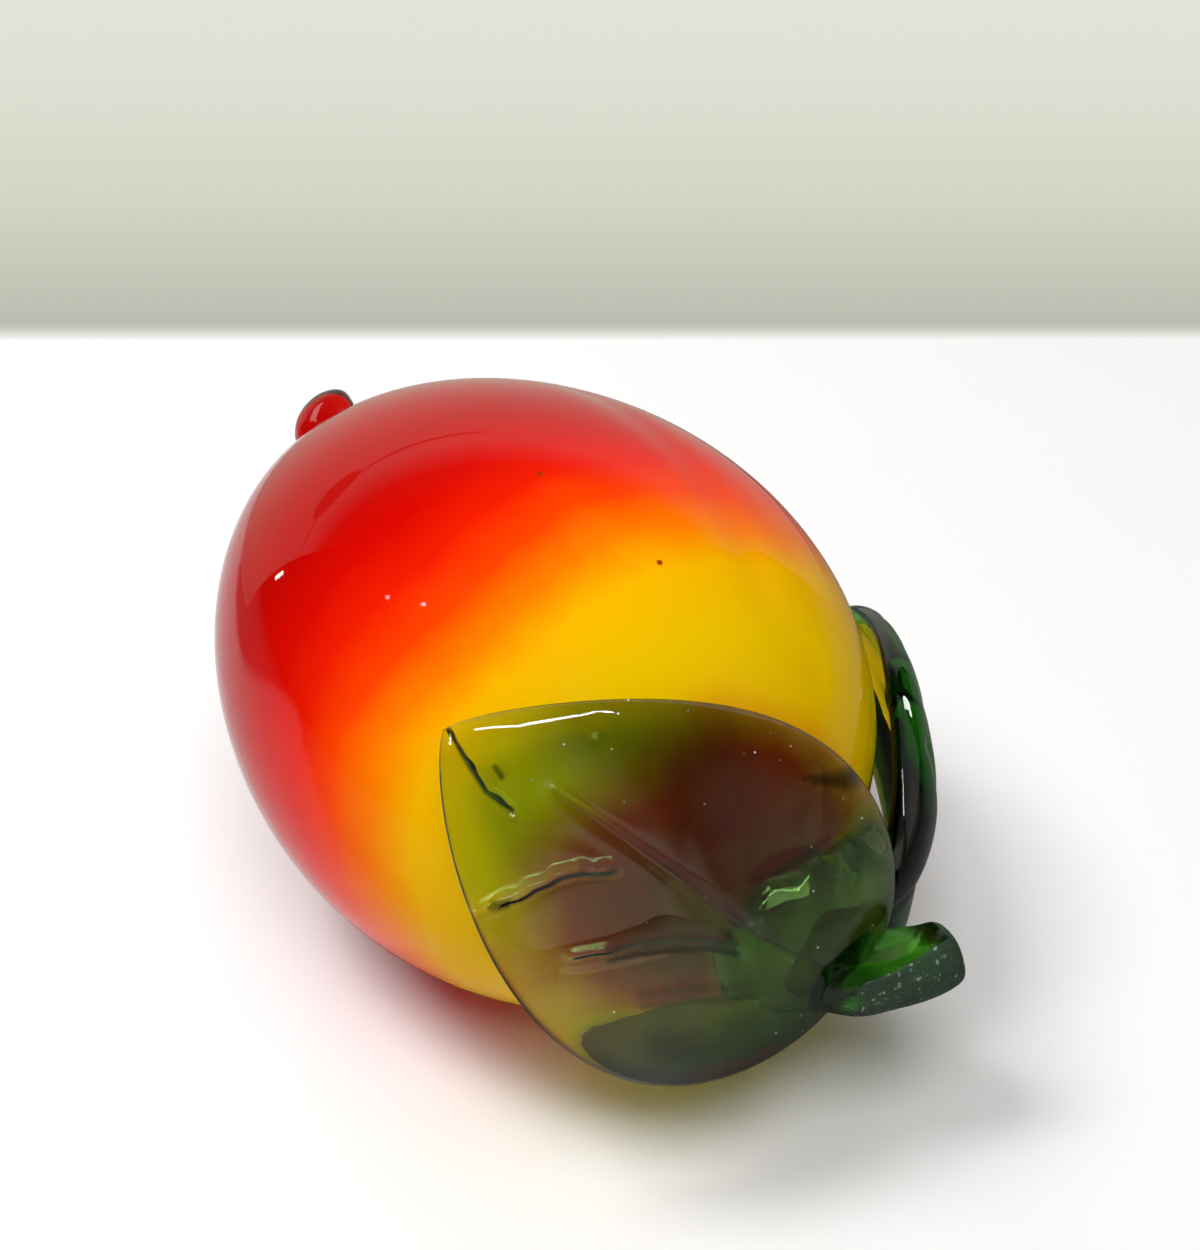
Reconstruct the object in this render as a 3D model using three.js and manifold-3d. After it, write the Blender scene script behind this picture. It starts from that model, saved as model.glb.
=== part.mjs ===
// Art glass mango: a blown fruit of three glass layers that lies on its side,
// with a drawn blossom tip, a green neck seal, a grooved stem and two pressed leaves.
// Millimetres. In the fruit's own frame +X runs along the blowing axis to the stem.

import * as THREE from 'three';
import { mergeVertices } from 'three/addons/utils/BufferGeometryUtils.js';
import Module from 'manifold-3d';

const wasm = await Module();
wasm.setup();

// Fruit
const BODY_LENGTH = 108; // blossom pole to stem pole
const BODY_WIDTH = 90.5; // across the widest section
const BODY_HEIGHT = 80.6; // paddled a little flatter than it is wide
const STEM_END_FULLNESS = 0.34; // how much fatter the stem half is than the blossom half
const STEM_END_REACH = 0.24; // how much longer the stem half is than the blossom half
const REST_TILT = 9; // degrees, stem end down
const REST_FLAT_DEPTH = 0.8; // paddled off the underside
const BODY_SIDES = 32;
const BODY_RINGS = 20;

// Glass layers, outside to inside, with the seam that separates touching pieces
const CASING_WALL = 2.4;
const OVERLAY_WALL = 1;
const BUBBLE_WALL = 2.2;
const SEAM = 0.3;

// Neck
const NECK_BORE = 14;
const SEAL_DIAMETER = 28;
const SEAL_HEIGHT = 9;
const SEAL_PLUG_DEPTH = 9;
const SEAL_SIDES = 28;
const SEAL_RINGS = 16;

// Blossom tip
const TIP_DIAMETER = 11;
const TIP_LENGTH = 7.5;
const TIP_POLAR = 166; // degrees from the stem pole
const TIP_AZIMUTH = 75; // degrees from +Y towards +Z
const TIP_LEAN = 8.3; // how far the end is bent over
const TIP_LEAN_TURN = 47; // degrees from +X towards +Y that it is bent to
const TIP_LEAN_RISE = 17; // degrees up from level that it is bent to
const TIP_TAPER = 0.42; // share of the radius lost from root to end
const TIP_END_FULLNESS = 4; // 2 is a round end, more is blunter
const TIP_SIDES = 18;
const TIP_RINGS = 14;

// Stem
const STEM_DIAMETER = 10;
const STEM_REACH = 8.5; // how far it stands out from the seal along the blowing axis
const STEM_SWEEP = 13.5; // how far it is bent sideways
const STEM_DROP = 2; // how far the foot sits below the blowing axis
const STEM_SINK = 2.5; // pressed into the seal while soft
const STEM_FLARE = 0.4; // how much wider the foot is than the rod, as a share of it
const STEM_GROOVE = 0.5; // depth of the fold along its upper side, against the radius
const STEM_GROOVE_RUN = 0.8; // below 1 keeps the fold deep nearer to both ends
const STEM_GROOVE_ANGLE = 110; // degrees round the rod, 90 is up
const STEM_GROOVE_SHARPNESS = 4; // more makes the fold narrower
const STEM_TWIST = 30; // degrees the groove turns from foot to end
const STEM_CUT_FULLNESS = 8; // a sheared, nearly flat end
const STEM_SIDES = 24;
const STEM_RINGS = 22;

// Leaves: lengths and half widths are taken along the leaf, lifts are above the fruit
const FRONT_LEAF_STANDOFF = 2; // middle of the front leaf's base above the top of the seal
const REAR_LEAF_STANDOFF = 1.2;
const REAR_LEAF_LAP = 2; // how far the rear leaf's base reaches over the rim of the seal
const FRONT_LEAF = {
  length: 76,
  sideWidth: 28.4, // half width on the side of decreasing azimuth
  otherWidth: 27,
  thickness: 3.2,
  baseAt: -5.7, // base end from the blowing axis, on this leaf's side of it
  azimuth: 135, // degrees from +Y towards +Z
  turn: -1.3, // degrees between the midrib and the meridian
  bow: -1.4, // sideways bow of the midrib
  baseBlunt: 0.54,
  tipBlunt: 0.76,
  seatLift: SEAL_HEIGHT + FRONT_LEAF_STANDOFF,
  footDrop: 0.5, // how far the base end is pressed down on the seal
  tipLift: 5,
  sideCurl: -4.5,
  otherCurl: 4.6,
};
const REAR_LEAF = {
  length: 59.6,
  sideWidth: 22,
  otherWidth: 20.6,
  thickness: 4.6,
  baseAt: SEAL_DIAMETER / 2 - REAR_LEAF_LAP,
  azimuth: -9.1,
  turn: 6.5,
  bow: 4.2,
  baseBlunt: 0.62,
  tipBlunt: 0.7,
  seatLift: SEAL_HEIGHT + REAR_LEAF_STANDOFF,
  footDrop: 4.8,
  tipLift: 5.8,
  sideCurl: 8.1,
  otherCurl: -4.6,
};
const LEAF_FOOT_STEEPNESS = 12; // how near the base end the foot drops
const LEAF_CURL_LEAD = 0.7; // below 1 puts the strongest curl nearer the base
const LEAF_RIM_FULLNESS = 6; // how square the long rims are rounded
const LEAF_END_FULLNESS = 10; // how square the two ends are rounded
const MIDRIB_DEPTH = 0.7; // pressed crease along the outer face
const LEAF_ROWS = 26;
const LEAF_COLUMNS = 16;

// Surface roughness of fire polished and of sheared glass
const POLISHED = 0.05;
const FROSTED = 0.35;

const radians = THREE.MathUtils.degToRad;

// The widest section is where sin(t) * (1 + fullness * cos(t)) peaks.
const widestCosine = (Math.sqrt(1 + 8 * STEM_END_FULLNESS ** 2) - 1) / (4 * STEM_END_FULLNESS);
const widestSection = Math.sqrt(1 - widestCosine ** 2) * (1 + STEM_END_FULLNESS * widestCosine);
const halfLength = BODY_LENGTH / 2;
const halfWidth = BODY_WIDTH / 2 / widestSection;
const halfHeight = BODY_HEIGHT / 2 / widestSection;
const stemPole = halfLength * (1 + STEM_END_REACH);

// Unit direction from the middle of the fruit, as angles from the stem pole and around the axis.
function direction(polarDegrees, azimuthDegrees) {
  const polar = radians(polarDegrees);
  const azimuth = radians(azimuthDegrees);
  return new THREE.Vector3(
    Math.cos(polar),
    Math.sin(polar) * Math.cos(azimuth),
    Math.sin(polar) * Math.sin(azimuth),
  );
}

// The fruit is a ball pulled out of round: a unit direction goes to its point on the glass,
// lifted along the outward normal.
function fruitPoint(unit, lift) {
  const along = unit.x;
  const around = Math.hypot(unit.y, unit.z);
  const sideways = around > 0 ? unit.y / around : 1;
  const upright = around > 0 ? unit.z / around : 0;
  const section = around * (1 + STEM_END_FULLNESS * along);
  const point = new THREE.Vector3(
    halfLength * (along + STEM_END_REACH * along ** 2),
    halfWidth * section * sideways,
    halfHeight * section * upright,
  );
  const sectionSlope = along + STEM_END_FULLNESS * (2 * along ** 2 - 1);
  const meridian = new THREE.Vector3(
    -halfLength * around * (1 + 2 * STEM_END_REACH * along),
    halfWidth * sectionSlope * sideways,
    halfHeight * sectionSlope * upright,
  );
  const parallel = new THREE.Vector3(0, -halfWidth * upright, halfHeight * sideways);
  const normal = meridian.cross(parallel).normalize();
  return point.addScaledVector(normal, lift);
}

// Moves every vertex of a geometry through a mapping.
function moulded(geometry, mapping) {
  const positions = geometry.attributes.position;
  for (let i = 0; i < positions.count; i += 1) {
    const moved = mapping(new THREE.Vector3().fromBufferAttribute(positions, i));
    positions.setXYZ(i, moved.x, moved.y, moved.z);
  }
  return geometry;
}

// A closed solid from a geometry whose coincident vertices are shared.
function solid(geometry) {
  geometry.deleteAttribute('normal');
  geometry.deleteAttribute('uv');
  const merged = mergeVertices(geometry);
  const corners = merged.index.array;
  const triangles = [];
  for (let i = 0; i < corners.length; i += 3) {
    const [a, b, c] = [corners[i], corners[i + 1], corners[i + 2]];
    if (a !== b && b !== c && c !== a) {
      triangles.push(a, b, c);
    }
  }
  return new wasm.Manifold(new wasm.Mesh({
    numProp: 3,
    vertProperties: merged.attributes.position.array,
    triVerts: Uint32Array.from(triangles),
  }));
}

// The unit ball with its poles on the blowing axis.
function ball(sides, rings) {
  return new THREE.SphereGeometry(1, sides, rings).rotateZ(-Math.PI / 2);
}

function fruitGeometry(lift) {
  return moulded(ball(BODY_SIDES, BODY_RINGS), (unit) => fruitPoint(unit.normalize(), lift));
}

const neckBore = solid(
  new THREE.CylinderGeometry(NECK_BORE / 2, NECK_BORE / 2, BODY_LENGTH, BODY_SIDES)
    .rotateZ(Math.PI / 2)
    .translate(stemPole, 0, 0),
);

// One hollow layer of the fruit, open at the neck.
function layer(outerLift, wall) {
  const outer = solid(fruitGeometry(outerLift));
  const inner = solid(fruitGeometry(outerLift - wall));
  return outer.subtract(inner).subtract(neckBore);
}

// Everything under the plane that the fruit rests on, in the fruit's own tilted frame.
function underRestPlane() {
  const tilt = radians(REST_TILT);
  const positions = fruitGeometry(0).rotateY(tilt).attributes.position;
  let lowest = Infinity;
  for (let i = 0; i < positions.count; i += 1) {
    lowest = Math.min(lowest, positions.getZ(i));
  }
  const block = new THREE.BoxGeometry(2 * BODY_LENGTH, 2 * BODY_LENGTH, BODY_LENGTH);
  block.translate(0, 0, lowest + REST_FLAT_DEPTH - BODY_LENGTH / 2);
  return solid(block.rotateY(-tilt));
}

const overlayLift = -CASING_WALL - SEAM;
const bubbleLift = overlayLift - OVERLAY_WALL - SEAM;
const casing = layer(0, CASING_WALL).subtract(underRestPlane());
const overlay = layer(overlayLift, OVERLAY_WALL);
const bubble = layer(bubbleLift, BUBBLE_WALL);
const fruitWithSeam = solid(fruitGeometry(SEAM));

// A lump of glass pulled along a curve: the ball's poles go to the curve's ends,
// and radiusAt(share, angle) is its radius at a share of the curve's length.
function pulledGlass(curve, radiusAt, endFullness, sides, rings) {
  return moulded(ball(sides, rings), (unit) => {
    const share = THREE.MathUtils.clamp((1 + unit.x) / 2, 0, 1);
    const angle = Math.atan2(unit.z, unit.y);
    const tangent = curve.getTangent(share);
    const across = new THREE.Vector3(0, 0, 1).cross(tangent).normalize();
    const rise = tangent.clone().cross(across);
    const rounding = Math.max(1 - Math.abs(unit.x) ** endFullness, 0) ** (1 / endFullness);
    const radius = radiusAt(share, angle) * rounding;
    return curve.getPoint(share)
      .addScaledVector(across, radius * Math.cos(angle))
      .addScaledVector(rise, radius * Math.sin(angle));
  });
}

// Blossom tip: a tapering drop that starts inside the casing and is cut back to its surface.
function tipSolid() {
  const unit = direction(TIP_POLAR, TIP_AZIMUTH);
  const root = fruitPoint(unit, -CASING_WALL);
  const turn = radians(TIP_LEAN_TURN);
  const slope = radians(TIP_LEAN_RISE);
  const lean = new THREE.Vector3(
    Math.cos(slope) * Math.cos(turn),
    Math.cos(slope) * Math.sin(turn),
    Math.sin(slope),
  ).multiplyScalar(TIP_LEAN);
  const end = fruitPoint(unit, TIP_LENGTH).add(lean);
  const curve = new THREE.QuadraticBezierCurve3(root, fruitPoint(unit, TIP_LENGTH / 2), end);
  const radiusAt = (share) => (TIP_DIAMETER / 2) * (1 - TIP_TAPER * share);
  const drop = pulledGlass(curve, radiusAt, TIP_END_FULLNESS, TIP_SIDES, TIP_RINGS);
  return solid(drop).subtract(fruitWithSeam);
}

// Stem: a sheared rod with a flared foot and a fold pressed along its upper side.
function stemGeometry(extra) {
  const sealTop = stemPole + SEAL_HEIGHT;
  const foot = new THREE.Vector3(sealTop - STEM_SINK - extra, 0, -STEM_DROP);
  const elbow = new THREE.Vector3(sealTop + STEM_REACH / 2, 0, -STEM_DROP);
  const end = new THREE.Vector3(sealTop + STEM_REACH, STEM_SWEEP, 0);
  const curve = new THREE.QuadraticBezierCurve3(foot, elbow, end);
  const radiusAt = (share, angle) => {
    const flare = 1 + STEM_FLARE * (1 - share) ** 2;
    const away = angle - radians(STEM_GROOVE_ANGLE + STEM_TWIST * (share - 0.5));
    const deep = STEM_GROOVE * Math.max(Math.sin(Math.PI * share), 0) ** STEM_GROOVE_RUN;
    const groove = deep * Math.max(Math.cos(away), 0) ** STEM_GROOVE_SHARPNESS;
    return (STEM_DIAMETER / 2) * flare * (1 - groove) + extra;
  };
  return pulledGlass(curve, radiusAt, STEM_CUT_FULLNESS, STEM_SIDES, STEM_RINGS);
}

// A pressed leaf, grown by extra on all sides. It is laid out flat from base to tip,
// wrapped over the stem end of the fruit and lifted off it.
function leafGeometry(leaf, extra) {
  const former = halfWidth * (1 + STEM_END_FULLNESS) + SEAL_HEIGHT;
  const polar = THREE.MathUtils.radToDeg((leaf.baseAt + leaf.length / 2) / former);
  const middle = direction(polar, leaf.azimuth);
  const away = direction(polar + 90, leaf.azimuth);
  const towardTip = away.applyAxisAngle(middle, radians(leaf.turn));
  const sideways = towardTip.clone().cross(middle);
  const widest = leaf.baseBlunt / (leaf.baseBlunt + leaf.tipBlunt);
  const outline = (u) =>
    (u / widest) ** leaf.baseBlunt * ((1 - u) / (1 - widest)) ** leaf.tipBlunt;
  const pointAt = (u, v, face) => {
    const width = v > 0 ? leaf.sideWidth : leaf.otherWidth;
    const curl = v > 0 ? leaf.sideCurl : leaf.otherCurl;
    const forward = (u - 0.5) * (leaf.length + 2 * extra);
    const across = (width + extra) * v * outline(u) + leaf.bow * (4 * (u - 0.5) ** 2 - 1);
    const angle = Math.hypot(forward, across) / former;
    const spread = angle > 0 ? Math.sin(angle) / (angle * former) : 1 / former;
    const unit = middle.clone().multiplyScalar(Math.cos(angle))
      .addScaledVector(towardTip, spread * forward)
      .addScaledVector(sideways, spread * across)
      .normalize();
    const settle = (1 - u) ** 2;
    const curled = curl * v ** 2 * Math.sin(Math.PI * u ** LEAF_CURL_LEAD);
    const longRim = Math.max(1 - Math.abs(v) ** LEAF_RIM_FULLNESS, 0);
    const endRim = Math.max(1 - Math.abs(2 * u - 1) ** LEAF_END_FULLNESS, 0);
    const crease = face > 0 && v === 0 ? MIDRIB_DEPTH * Math.sin(Math.PI * u) : 0;
    const skin = face * (leaf.thickness / 2 + extra) * Math.sqrt(longRim * endRim) - crease;
    const foot = leaf.footDrop * (1 - u) ** LEAF_FOOT_STEEPNESS;
    const lift = leaf.seatLift * settle + leaf.tipLift * (1 - settle) + curled - foot;
    return fruitPoint(unit, lift + skin);
  };
  const positions = [];
  const triangles = [];
  for (const face of [1, -1]) {
    const first = positions.length / 3;
    for (let i = 0; i <= LEAF_ROWS; i += 1) {
      const u = (1 - Math.cos(Math.PI * i / LEAF_ROWS)) / 2;
      for (let j = 0; j <= LEAF_COLUMNS; j += 1) {
        const v = j * 2 === LEAF_COLUMNS ? 0 : Math.sin(Math.PI * (j / LEAF_COLUMNS - 0.5));
        positions.push(...pointAt(u, v, face).toArray());
      }
    }
    for (let i = 0; i < LEAF_ROWS; i += 1) {
      for (let j = 0; j < LEAF_COLUMNS; j += 1) {
        const a = first + i * (LEAF_COLUMNS + 1) + j;
        const b = a + LEAF_COLUMNS + 1;
        const quad = face > 0 ? [a, a + 1, b, b, a + 1, b + 1] : [a, b, a + 1, b, b + 1, a + 1];
        triangles.push(...quad);
      }
    }
  }
  const geometry = new THREE.BufferGeometry();
  geometry.setAttribute('position', new THREE.Float32BufferAttribute(positions, 3));
  geometry.setIndex(triangles);
  return geometry;
}

const stem = solid(stemGeometry(0));
const stemWithSeam = solid(stemGeometry(SEAM));
const frontLeafWithSeam = solid(leafGeometry(FRONT_LEAF, SEAM));
const rearLeafWithSeam = solid(leafGeometry(REAR_LEAF, SEAM));
const frontLeaf = solid(leafGeometry(FRONT_LEAF, 0)).subtract(stemWithSeam);
const rearLeaf = solid(leafGeometry(REAR_LEAF, 0)).subtract(frontLeafWithSeam).subtract(stemWithSeam);

// Neck seal: a gob pressed on the neck, with a plug in the bore and the prints of what sits on it.
function sealSolid() {
  const gob = moulded(ball(SEAL_SIDES, SEAL_RINGS), (unit) => new THREE.Vector3(
    stemPole + unit.x * (SEAL_HEIGHT + SEAM),
    unit.y * SEAL_DIAMETER / 2,
    unit.z * SEAL_DIAMETER / 2,
  ));
  const plugRadius = NECK_BORE / 2 - SEAM;
  const plugLength = SEAL_PLUG_DEPTH + SEAL_HEIGHT / 2;
  const plug = new THREE.CylinderGeometry(plugRadius, plugRadius, plugLength, SEAL_SIDES)
    .rotateZ(Math.PI / 2)
    .translate(stemPole + SEAL_HEIGHT / 2 - plugLength / 2, 0, 0);
  return solid(gob).subtract(fruitWithSeam).add(solid(plug))
    .subtract(frontLeafWithSeam)
    .subtract(rearLeafWithSeam)
    .subtract(stemWithSeam);
}

function glass(color, opacity, roughness) {
  const transparent = opacity < 1;
  return new THREE.MeshStandardMaterial({ color, opacity, transparent, roughness, metalness: 0 });
}

function piece(name, shape, material) {
  const { vertProperties, triVerts } = shape.getMesh();
  const geometry = new THREE.BufferGeometry();
  geometry.setAttribute('position', new THREE.BufferAttribute(vertProperties, 3));
  geometry.setIndex(new THREE.BufferAttribute(triVerts, 1));
  geometry.computeVertexNormals();
  const mesh = new THREE.Mesh(geometry, material);
  mesh.name = name;
  return mesh;
}

const fruit = new THREE.Group();
fruit.rotation.y = radians(REST_TILT);
fruit.add(
  piece('inner_bubble', bubble, glass(0xf2d27a, 1, POLISHED)),
  piece('color_overlay', overlay, glass(0xe0480a, 1, POLISHED)),
  piece('clear_casing', casing, glass(0xf6f3ea, 0.25, POLISHED)),
  piece('blossom_tip', tipSolid(), glass(0xd01406, 0.7, POLISHED)),
  piece('neck_seal', sealSolid(), glass(0x1f5a1c, 0.7, POLISHED)),
  piece('stem', stem, glass(0x1f5a1c, 0.8, FROSTED)),
  piece('front_leaf', frontLeaf, glass(0x2f6b24, 0.6, POLISHED)),
  piece('rear_leaf', rearLeaf, glass(0x24551f, 0.7, POLISHED)),
);

// The mango lies on its rest flat, centred over the origin.
const mango = new THREE.Group();
mango.add(fruit);
mango.updateMatrixWorld(true);
const bounds = new THREE.Box3().setFromObject(mango, true);
const centre = bounds.getCenter(new THREE.Vector3());
mango.position.set(-centre.x, -centre.y, -bounds.min.z);

export default mango;
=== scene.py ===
import math

import bmesh
import bpy
import numpy as np
from mathutils import Matrix, Vector


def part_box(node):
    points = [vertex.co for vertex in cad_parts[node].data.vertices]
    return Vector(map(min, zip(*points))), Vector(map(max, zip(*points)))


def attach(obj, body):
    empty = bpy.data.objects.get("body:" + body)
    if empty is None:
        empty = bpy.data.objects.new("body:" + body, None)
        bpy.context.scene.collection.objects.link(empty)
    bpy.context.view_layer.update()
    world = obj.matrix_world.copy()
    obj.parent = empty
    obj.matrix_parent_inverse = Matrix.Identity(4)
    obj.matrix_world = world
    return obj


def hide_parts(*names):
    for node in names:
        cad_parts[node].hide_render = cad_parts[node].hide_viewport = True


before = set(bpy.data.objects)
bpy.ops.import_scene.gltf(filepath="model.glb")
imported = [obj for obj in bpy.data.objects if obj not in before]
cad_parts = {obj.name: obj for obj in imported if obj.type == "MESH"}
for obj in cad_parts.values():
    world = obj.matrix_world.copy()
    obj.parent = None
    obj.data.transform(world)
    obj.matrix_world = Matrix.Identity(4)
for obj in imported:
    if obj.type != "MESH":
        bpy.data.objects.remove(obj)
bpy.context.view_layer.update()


# Inner bubble: the first gather of opal yellow glass, blown hollow on the pipe.
# It is closed in by the colour overlay, so only its finish is given here.
class Flow:
    """An output of a shader node. Arithmetic on flows adds Math nodes."""

    def __init__(self, tree, socket=None):
        self.tree, self.socket = tree, socket

    def node(self, kind, settings=None, sockets=None, out=0):
        """Adds a node of any kind, with its settings and its socket values or links."""
        made = self.tree.nodes.new(kind)
        for key, value in (settings or {}).items():
            if key == "stops":
                while len(made.color_ramp.elements) < len(value):
                    made.color_ramp.elements.new(0.5)
                for element, (place, tint) in zip(made.color_ramp.elements, value):
                    element.position = place
                    element.color = (*tint, 1.0)
            else:
                setattr(made, key, value)
        for key, value in (sockets or {}).items():
            if isinstance(value, Flow):
                self.tree.links.new(value.socket, made.inputs[key])
            else:
                made.inputs[key].default_value = value
        return Flow(self.tree, made.outputs[out]) if made.outputs else None

    def math(self, operation, a, b=0.0):
        return self.node("ShaderNodeMath", {"operation": operation}, {0: a, 1: b})

    def __add__(self, other):
        return self.math("ADD", self, other)

    def __radd__(self, other):
        return self.math("ADD", other, self)

    def __sub__(self, other):
        return self.math("SUBTRACT", self, other)

    def __rsub__(self, other):
        return self.math("SUBTRACT", other, self)

    def __mul__(self, other):
        return self.math("MULTIPLY", self, other)

    def __rmul__(self, other):
        return self.math("MULTIPLY", other, self)

    def rise(self, low, high):
        """0 up to low and 1 from high, smooth between."""
        return self.node("ShaderNodeMapRange", {"interpolation_type": "SMOOTHSTEP"},
                         {"Value": self, "From Min": low, "From Max": high})

    def blend(self, first, second):
        """A colour that goes from first at 0 to second at 1."""
        return self.node("ShaderNodeMix", {"data_type": "RGBA"}, {0: self, 6: first, 7: second}, out=2)

    def dot(self, along):
        return self.node("ShaderNodeVectorMath", {"operation": "DOT_PRODUCT"},
                         {0: self, 1: tuple(along)}, out="Value")

    def distance(self, place):
        return self.node("ShaderNodeVectorMath", {"operation": "DISTANCE"},
                         {0: self, 1: tuple(place)}, out="Value")


def new_finish(name):
    """An empty material and a flow that adds nodes to it."""
    made = bpy.data.materials.new(name)
    made.use_nodes = True
    made.node_tree.nodes.clear()
    return made, Flow(made.node_tree)


opal, flow = new_finish("opal_yellow_glass")
spot = flow.node("ShaderNodeTexCoord", out="Object")
cloud = flow.node("ShaderNodeTexNoise", {}, {"Vector": spot, "Scale": 60.0, "Detail": 3.0})
milk = cloud.blend((0.95, 0.72, 0.24, 1), (0.98, 0.82, 0.4, 1))
skin = flow.node("ShaderNodeBsdfPrincipled", {}, {"Base Color": milk, "Roughness": 0.12})
flow.node("ShaderNodeOutputMaterial", {}, {"Surface": skin})
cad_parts["inner_bubble"].data.materials.clear()
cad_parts["inner_bubble"].data.materials.append(opal)


# Colour overlay and clear casing: red, orange and yellow glass gathered over the bubble, then a
# thick clear gather, fire polished. The two are fused into one glossy wall with a paddled flat.
LENGTH, WIDTH, HEIGHT = 0.108, 0.0905, 0.0806
FULLNESS, REACH = 0.34, 0.24
TILT = math.radians(9)
REST_FLAT = 0.0008
WELD_GAP, SLIVER_GAP = 2e-6, 1e-7
WIDEST_COS = (math.sqrt(1 + 8 * FULLNESS**2) - 1) / (4 * FULLNESS)
WIDEST = math.sqrt(1 - WIDEST_COS**2) * (1 + FULLNESS * WIDEST_COS)
HALF_LENGTH, HALF_WIDTH, HALF_HEIGHT = LENGTH / 2, WIDTH / 2 / WIDEST, HEIGHT / 2 / WIDEST
STEM_POLE = HALF_LENGTH * (1 + REACH)


def unit(polar, azimuth):
    """Directions from the fruit's middle, by angle from the stem pole and angle round the axis."""
    return np.stack([np.cos(polar) + 0 * azimuth, np.sin(polar) * np.cos(azimuth),
                     np.sin(polar) * np.sin(azimuth)], -1)


def fruit_point(way, lift=0.0):
    """Points of the fruit in these directions, lifted along the outward normal."""
    along = way[..., 0]
    around = np.maximum(np.hypot(way[..., 1], way[..., 2]), 1e-9)
    side, rise = way[..., 1] / around, way[..., 2] / around
    section = around * (1 + FULLNESS * along)
    slope = along + FULLNESS * (2 * along**2 - 1)
    point = np.stack([HALF_LENGTH * (along + REACH * along**2), HALF_WIDTH * section * side,
                      HALF_HEIGHT * section * rise], -1)
    meridian = np.stack([-HALF_LENGTH * around * (1 + 2 * REACH * along), HALF_WIDTH * slope * side,
                         HALF_HEIGHT * slope * rise], -1)
    parallel = np.stack([0 * along, -HALF_WIDTH * rise, HALF_HEIGHT * side], -1)
    normal = np.cross(meridian, parallel)
    size = np.linalg.norm(normal, axis=-1, keepdims=True)
    pole = np.stack([np.sign(along), 0 * along, 0 * along], -1)
    normal = np.where(size > 1e-14, normal / np.maximum(size, 1e-14), pole)
    return point + np.asarray(lift)[..., None] * normal


def skin_of(name, sheets, material, worked=None):
    """A smooth closed mesh from grids of points, welded where their edges meet."""
    points, quads, start = [], [], 0
    for sheet in sheets:
        rows, columns = sheet.shape[:2]
        index = np.arange(rows * columns).reshape(rows, columns) + start
        corners = (index[:-1, :-1], index[1:, :-1], index[1:, 1:], index[:-1, 1:])
        quads += np.stack(corners, -1).reshape(-1, 4).tolist()
        points += sheet.reshape(-1, 3).tolist()
        start += rows * columns
    mesh = bpy.data.meshes.new(name)
    mesh.from_pydata(points, [], quads)
    if worked is not None:
        mesh.attributes.new("worked", "FLOAT", "POINT").data.foreach_set("value", worked.ravel())
    work = bmesh.new()
    work.from_mesh(mesh)
    bmesh.ops.remove_doubles(work, verts=work.verts, dist=WELD_GAP)
    bmesh.ops.dissolve_degenerate(work, edges=work.edges, dist=SLIVER_GAP)
    bmesh.ops.recalc_face_normals(work, faces=work.faces)
    work.to_mesh(mesh)
    work.free()
    mesh.shade_smooth()
    mesh.materials.append(material)
    made = bpy.data.objects.new(name, mesh)
    bpy.context.scene.collection.objects.link(made)
    made.matrix_world = fruit_place
    return made


def distance_to(line, x, y):
    """Distance of points of a plane from a line of straight runs."""
    best = np.full(np.shape(x), np.inf)
    for (ax, ay), (bx, by) in zip(line, line[1:]):
        square = (bx - ax)**2 + (by - ay)**2
        run = np.clip(((x - ax) * (bx - ax) + (y - ay) * (by - ay)) / square, 0, 1)
        best = np.minimum(best, np.hypot(x - ax - run * (bx - ax), y - ay - run * (by - ay)))
    return best


polar, azimuth = np.meshgrid(np.linspace(0, math.pi, 181), np.linspace(0, 2 * math.pi, 289),
                             indexing="ij")
PADDLE_LINE = [(96, 55), (83, 60), (70, 63), (59, 67), (47, 71.5), (38, 64)]
PADDLE_DEPTH, PADDLE_BREADTH = 0.0003, 4.2
near = distance_to(PADDLE_LINE, np.degrees(polar), np.degrees(azimuth))
wall = fruit_point(unit(polar, azimuth), -PADDLE_DEPTH * np.exp(-(near / PADDLE_BREADTH)**2))
turn = Matrix.Rotation(TILT, 4, "Y")
turned = wall @ np.array(turn.to_3x3()).T
rest = turned[..., 2].min() + REST_FLAT
casing_low, casing_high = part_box("clear_casing")
fruit_place = Matrix.Translation((
    (casing_low.x + casing_high.x - turned[..., 0].min() - turned[..., 0].max()) / 2,
    (casing_low.y + casing_high.y) / 2, -rest)) @ turn
wall += np.maximum(rest - turned[..., 2], 0)[..., None] * np.array(turn.to_3x3())[2]

GLASS_IOR = 1.5
FAR_SIDE_END, UNDER_START, UNDER_END = 0.024, 0.0218, 0.045
FAR_SIDE_LAG, UNDER_LAG, RIPE_WANDER = 0.36, 0.39, 0.009
RED_END, YELLOW_END = -0.041, 0.067
BLUSH_MIDDLE, BLUSH_STRETCH = (0.060, -0.0108, 0.0105), (1.0, 0.86, 1.0)
BLUSH_WANDER, BLUSH_DEPTH, BLUSH_EDGE = 0.012, (0.006, 0.026), (0.017, 0.027)
NECK_START, NECK_TOP, NECK_COLOUR = (0.0640, 0.0656), (0.0005, 0.007), (0.75, 0.30, 0.03, 1)
SPECKS = ((0.01017, -0.00063, 0.04001, 0.0006), (0.03085, 0.0022, 0.03865, 0.0004))
SPECK_WANDER, SPECK_CORE, SPECK_COLOUR = 0.0012, 0.3, (0.3, 0.03, 0.0, 1)
cased, flow = new_finish("cased_red_to_yellow_glass")
spot = flow.node("ShaderNodeTexCoord", out="Object")
streak = flow.node("ShaderNodeTexNoise", {}, {"Vector": spot, "Scale": 45.0, "Detail": 4.0})
far_side = flow.node("ShaderNodeClamp", {}, {
    "Value": spot.dot((0, 1, 0)), "Min": 0.0, "Max": FAR_SIDE_END})
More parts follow.
